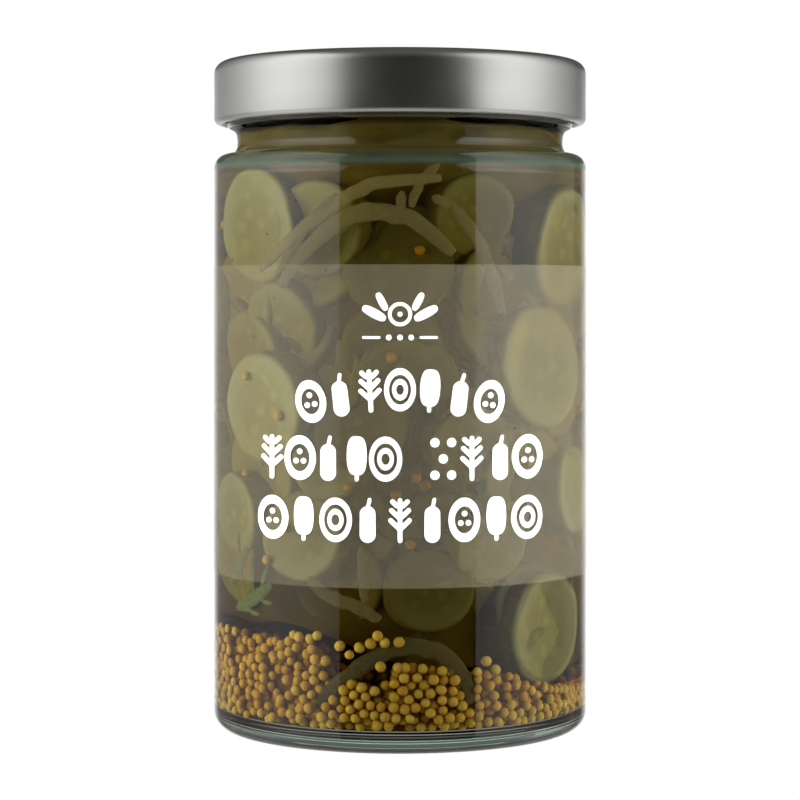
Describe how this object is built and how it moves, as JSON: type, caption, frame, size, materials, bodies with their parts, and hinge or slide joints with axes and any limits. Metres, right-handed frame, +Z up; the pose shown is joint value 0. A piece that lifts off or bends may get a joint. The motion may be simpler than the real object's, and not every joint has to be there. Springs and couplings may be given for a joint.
{
  "type": "pickle jar",
  "caption": "Shut round glass jar of pickled cucumber slices in brine, with mustard seeds, onion strips and dill, under a metal twist lid, with a clear film label round it.",
  "frame": {"origin": "middle of the jar's foot, on the surface that it stands on", "axes": "+Z up along the jar's axis, -Y towards the front that the picture shows"},
  "size_m": [0.086, 0.086, 0.1526],
  "materials": {
    "clear_glass": "clear soda glass with a faint green tint, smooth",
    "satin_tinplate": "satin silver lacquer on tinplate",
    "label_film": "hazy clear film with white print",
    "pickled_cucumber": "wet, soft gloss, pale olive flesh with a darker skin",
    "mustard_seed": "smooth, wet, ochre yellow",
    "pickled_onion": "thin, wet, half clear",
    "dill": "soft wet leaf"
  },
  "bodies": {
    "root": {"jar_glass": "clear_glass", "lid": "satin_tinplate", "label_film": "label_film", "cucumber_heap": "pickled_cucumber", "mustard_seed_heap": "mustard_seed", "onion_strip_1": "pickled_onion", "onion_strip_2": "pickled_onion", "onion_strip_3": "pickled_onion", "onion_strip_4": "pickled_onion", "onion_strip_5": "pickled_onion", "onion_strip_6": "pickled_onion", "onion_strip_7": "pickled_onion", "onion_strip_8": "pickled_onion", "onion_strip_9": "pickled_onion", "dill_leaf_1": "dill", "dill_leaf_2": "dill"}
  },
  "joints": []
}
